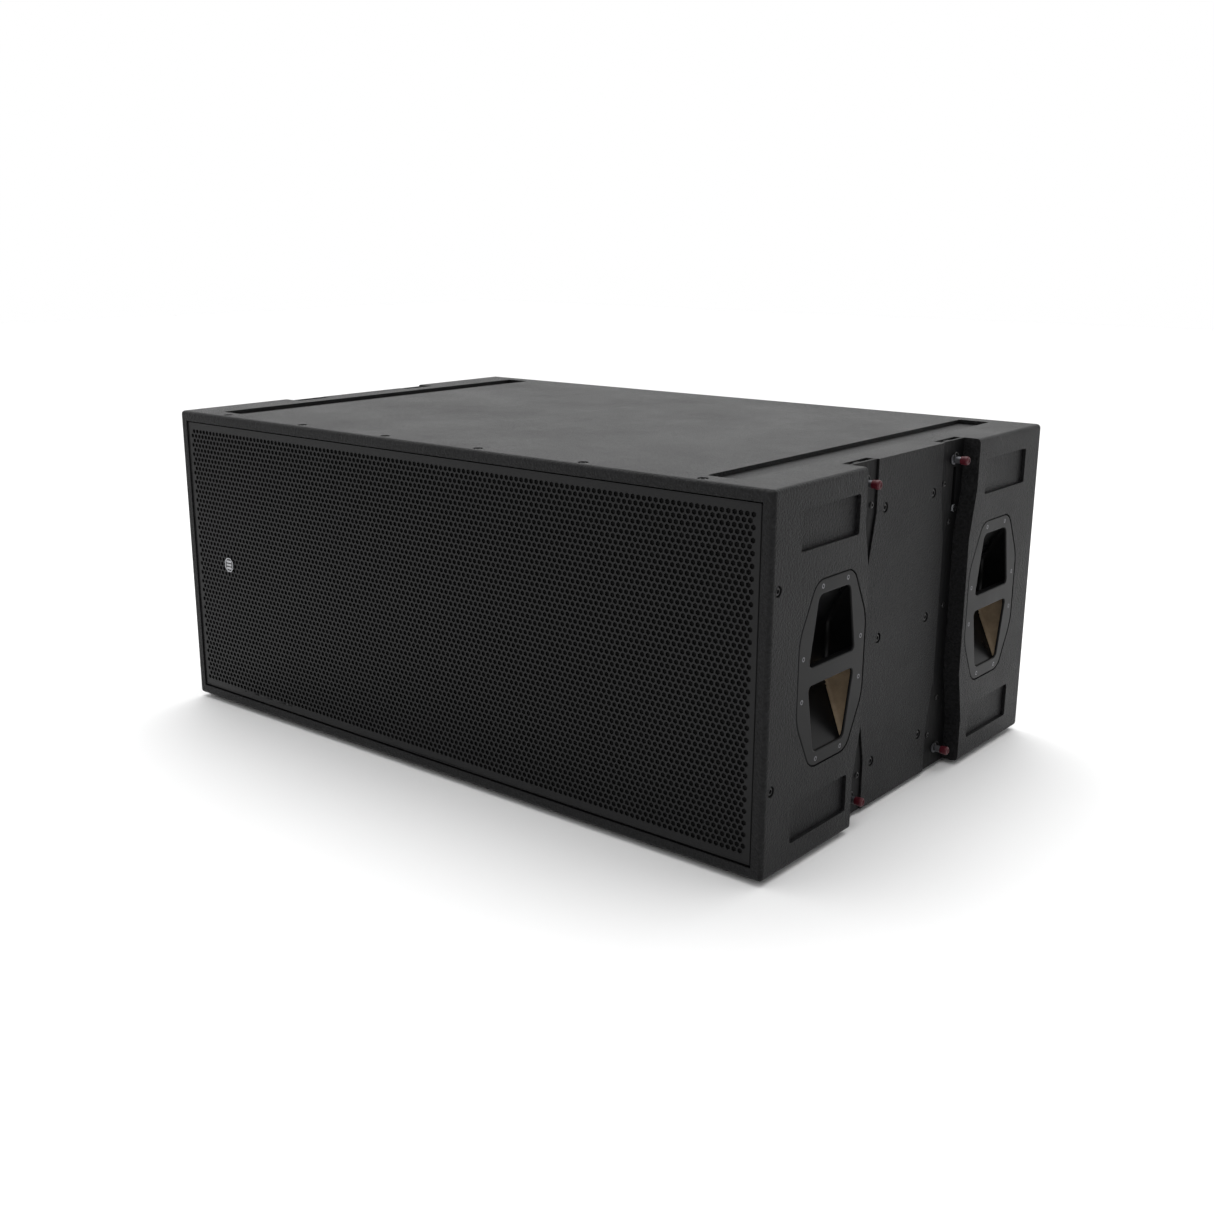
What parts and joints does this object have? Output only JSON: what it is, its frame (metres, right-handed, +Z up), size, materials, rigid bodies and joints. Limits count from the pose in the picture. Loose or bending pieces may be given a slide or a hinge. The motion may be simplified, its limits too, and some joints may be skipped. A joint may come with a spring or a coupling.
{
  "type": "line array speaker",
  "caption": "Flown line array subwoofer: ply cabinet with perforated grille, stacking channels, recessed side handles, and side rigging rails with lift-up links and pull pins.",
  "frame": {"origin": "bottom centre of the bounding box, on the floor under the skids", "axes": "+X across the width (longest), -Y out of the grille, +Z up (shortest)"},
  "size_m": [1.3, 0.85, 0.558],
  "materials": {
    "cabinet_coating": "birch plywood with a textured black polyurea coating, satin",
    "birch_ply": "bare birch plywood, sealed",
    "rail_steel": "welded steel, black powder coat, semi-matt",
    "link_steel": "zinc plated steel, brushed",
    "pin_red": "moulded red head on a steel pin, satin",
    "handle_plastic": "moulded glass-filled nylon, satin gloss",
    "grille_steel": "perforated steel, black powder coat, satin",
    "grille_foam": "open-cell reticulated foam, matt",
    "badge_metal": "cast and satin brushed, unmarked",
    "skid_plastic": "milled polyamide, matt",
    "dish_steel": "pressed steel, black powder coat",
    "socket_plastic": "moulded socket, satin",
    "basket_alloy": "die cast, black powder coat",
    "motor_steel": "ferrite ring between zinc plated steel plates",
    "cone_paper": "fibre-loaded paper pulp, water resistant, matt",
    "suspension_cloth": "impregnated cloth, matt"
  },
  "bodies": {
    "cabinet": {"top_panel": "cabinet_coating", "bottom_panel": "cabinet_coating", "rear_panel": "cabinet_coating", "centre_panel_right": "cabinet_coating", "centre_panel_left": "cabinet_coating", "front_cheek_right": "cabinet_coating", "front_cheek_left": "cabinet_coating", "rear_cheek_right": "cabinet_coating", "rear_cheek_left": "cabinet_coating", "side_wall_right": "birch_ply", "side_wall_left": "birch_ply", "port_wall_right": "birch_ply", "port_wall_left": "birch_ply", "brace_right": "birch_ply", "brace_left": "birch_ply", "front_baffle": "birch_ply", "rail_front_right": "rail_steel", "rail_front_left": "rail_steel", "rail_rear_right": "rail_steel", "rail_rear_left": "rail_steel", "handle_frame_front_right": "handle_plastic", "handle_frame_front_left": "handle_plastic", "handle_frame_rear_right": "handle_plastic", "handle_frame_rear_left": "handle_plastic", "handle_cup_front_right": "handle_plastic", "handle_cup_front_left": "handle_plastic", "handle_cup_rear_right": "handle_plastic", "handle_cup_rear_left": "handle_plastic", "grille": "grille_steel", "grille_foam": "grille_foam", "badge": "badge_metal", "skid_right": "skid_plastic", "skid_left": "skid_plastic", "connector_dish": "dish_steel", "socket_right": "socket_plastic", "socket_left": "socket_plastic", "basket_right": "basket_alloy", "basket_left": "basket_alloy", "motor_right": "motor_steel", "motor_left": "motor_steel", "surround_right": "suspension_cloth", "surround_left": "suspension_cloth", "spider_right": "suspension_cloth", "spider_left": "suspension_cloth"},
    "link_front_right": {"link_front_right": "link_steel"},
    "pin_top_front_right": {"pin_top_front_right": "pin_red"},
    "pin_bottom_front_right": {"pin_bottom_front_right": "pin_red"},
    "link_front_left": {"link_front_left": "link_steel"},
    "pin_top_front_left": {"pin_top_front_left": "pin_red"},
    "pin_bottom_front_left": {"pin_bottom_front_left": "pin_red"},
    "link_rear_right": {"link_rear_right": "link_steel"},
    "pin_top_rear_right": {"pin_top_rear_right": "pin_red"},
    "pin_bottom_rear_right": {"pin_bottom_rear_right": "pin_red"},
    "link_rear_left": {"link_rear_left": "link_steel"},
    "pin_top_rear_left": {"pin_top_rear_left": "pin_red"},
    "pin_bottom_rear_left": {"pin_bottom_rear_left": "pin_red"},
    "moving_cone_right": {"cone_right": "cone_paper", "dust_cap_right": "cone_paper"},
    "moving_cone_left": {"cone_left": "cone_paper", "dust_cap_left": "cone_paper"}
  },
  "joints": [
    {"name": "link_lift_front_right", "type": "slide", "parent": "cabinet", "child": "link_front_right", "axis": [0, 0, 1], "range_m": [0, 0.062]},
    {"name": "pin_top_front_right_pull", "type": "slide", "parent": "cabinet", "child": "pin_top_front_right", "axis": [1, 0, 0], "range_m": [0, 0.035]},
    {"name": "pin_bottom_front_right_pull", "type": "slide", "parent": "cabinet", "child": "pin_bottom_front_right", "axis": [1, 0, 0], "range_m": [0, 0.035]},
    {"name": "link_lift_front_left", "type": "slide", "parent": "cabinet", "child": "link_front_left", "axis": [0, 0, 1], "range_m": [0, 0.062]},
    {"name": "pin_top_front_left_pull", "type": "slide", "parent": "cabinet", "child": "pin_top_front_left", "axis": [-1, 0, 0], "range_m": [0, 0.035]},
    {"name": "pin_bottom_front_left_pull", "type": "slide", "parent": "cabinet", "child": "pin_bottom_front_left", "axis": [-1, 0, 0], "range_m": [0, 0.035]},
    {"name": "link_lift_rear_right", "type": "slide", "parent": "cabinet", "child": "link_rear_right", "axis": [0, 0, 1], "range_m": [0, 0.062]},
    {"name": "pin_top_rear_right_pull", "type": "slide", "parent": "cabinet", "child": "pin_top_rear_right", "axis": [1, 0, 0], "range_m": [0, 0.035]},
    {"name": "pin_bottom_rear_right_pull", "type": "slide", "parent": "cabinet", "child": "pin_bottom_rear_right", "axis": [1, 0, 0], "range_m": [0, 0.035]},
    {"name": "link_lift_rear_left", "type": "slide", "parent": "cabinet", "child": "link_rear_left", "axis": [0, 0, 1], "range_m": [0, 0.062]},
    {"name": "pin_top_rear_left_pull", "type": "slide", "parent": "cabinet", "child": "pin_top_rear_left", "axis": [-1, 0, 0], "range_m": [0, 0.035]},
    {"name": "pin_bottom_rear_left_pull", "type": "slide", "parent": "cabinet", "child": "pin_bottom_rear_left", "axis": [-1, 0, 0], "range_m": [0, 0.035]},
    {"name": "cone_travel_right", "type": "slide", "parent": "cabinet", "child": "moving_cone_right", "axis": [0, 1, 0], "range_m": [-0.01, 0.01], "stiffness_N_per_m": 6000, "deforming": ["surround_right", "spider_right"]},
    {"name": "cone_travel_left", "type": "slide", "parent": "cabinet", "child": "moving_cone_left", "axis": [0, 1, 0], "range_m": [-0.01, 0.01], "stiffness_N_per_m": 6000, "deforming": ["surround_left", "spider_left"]}
  ]
}
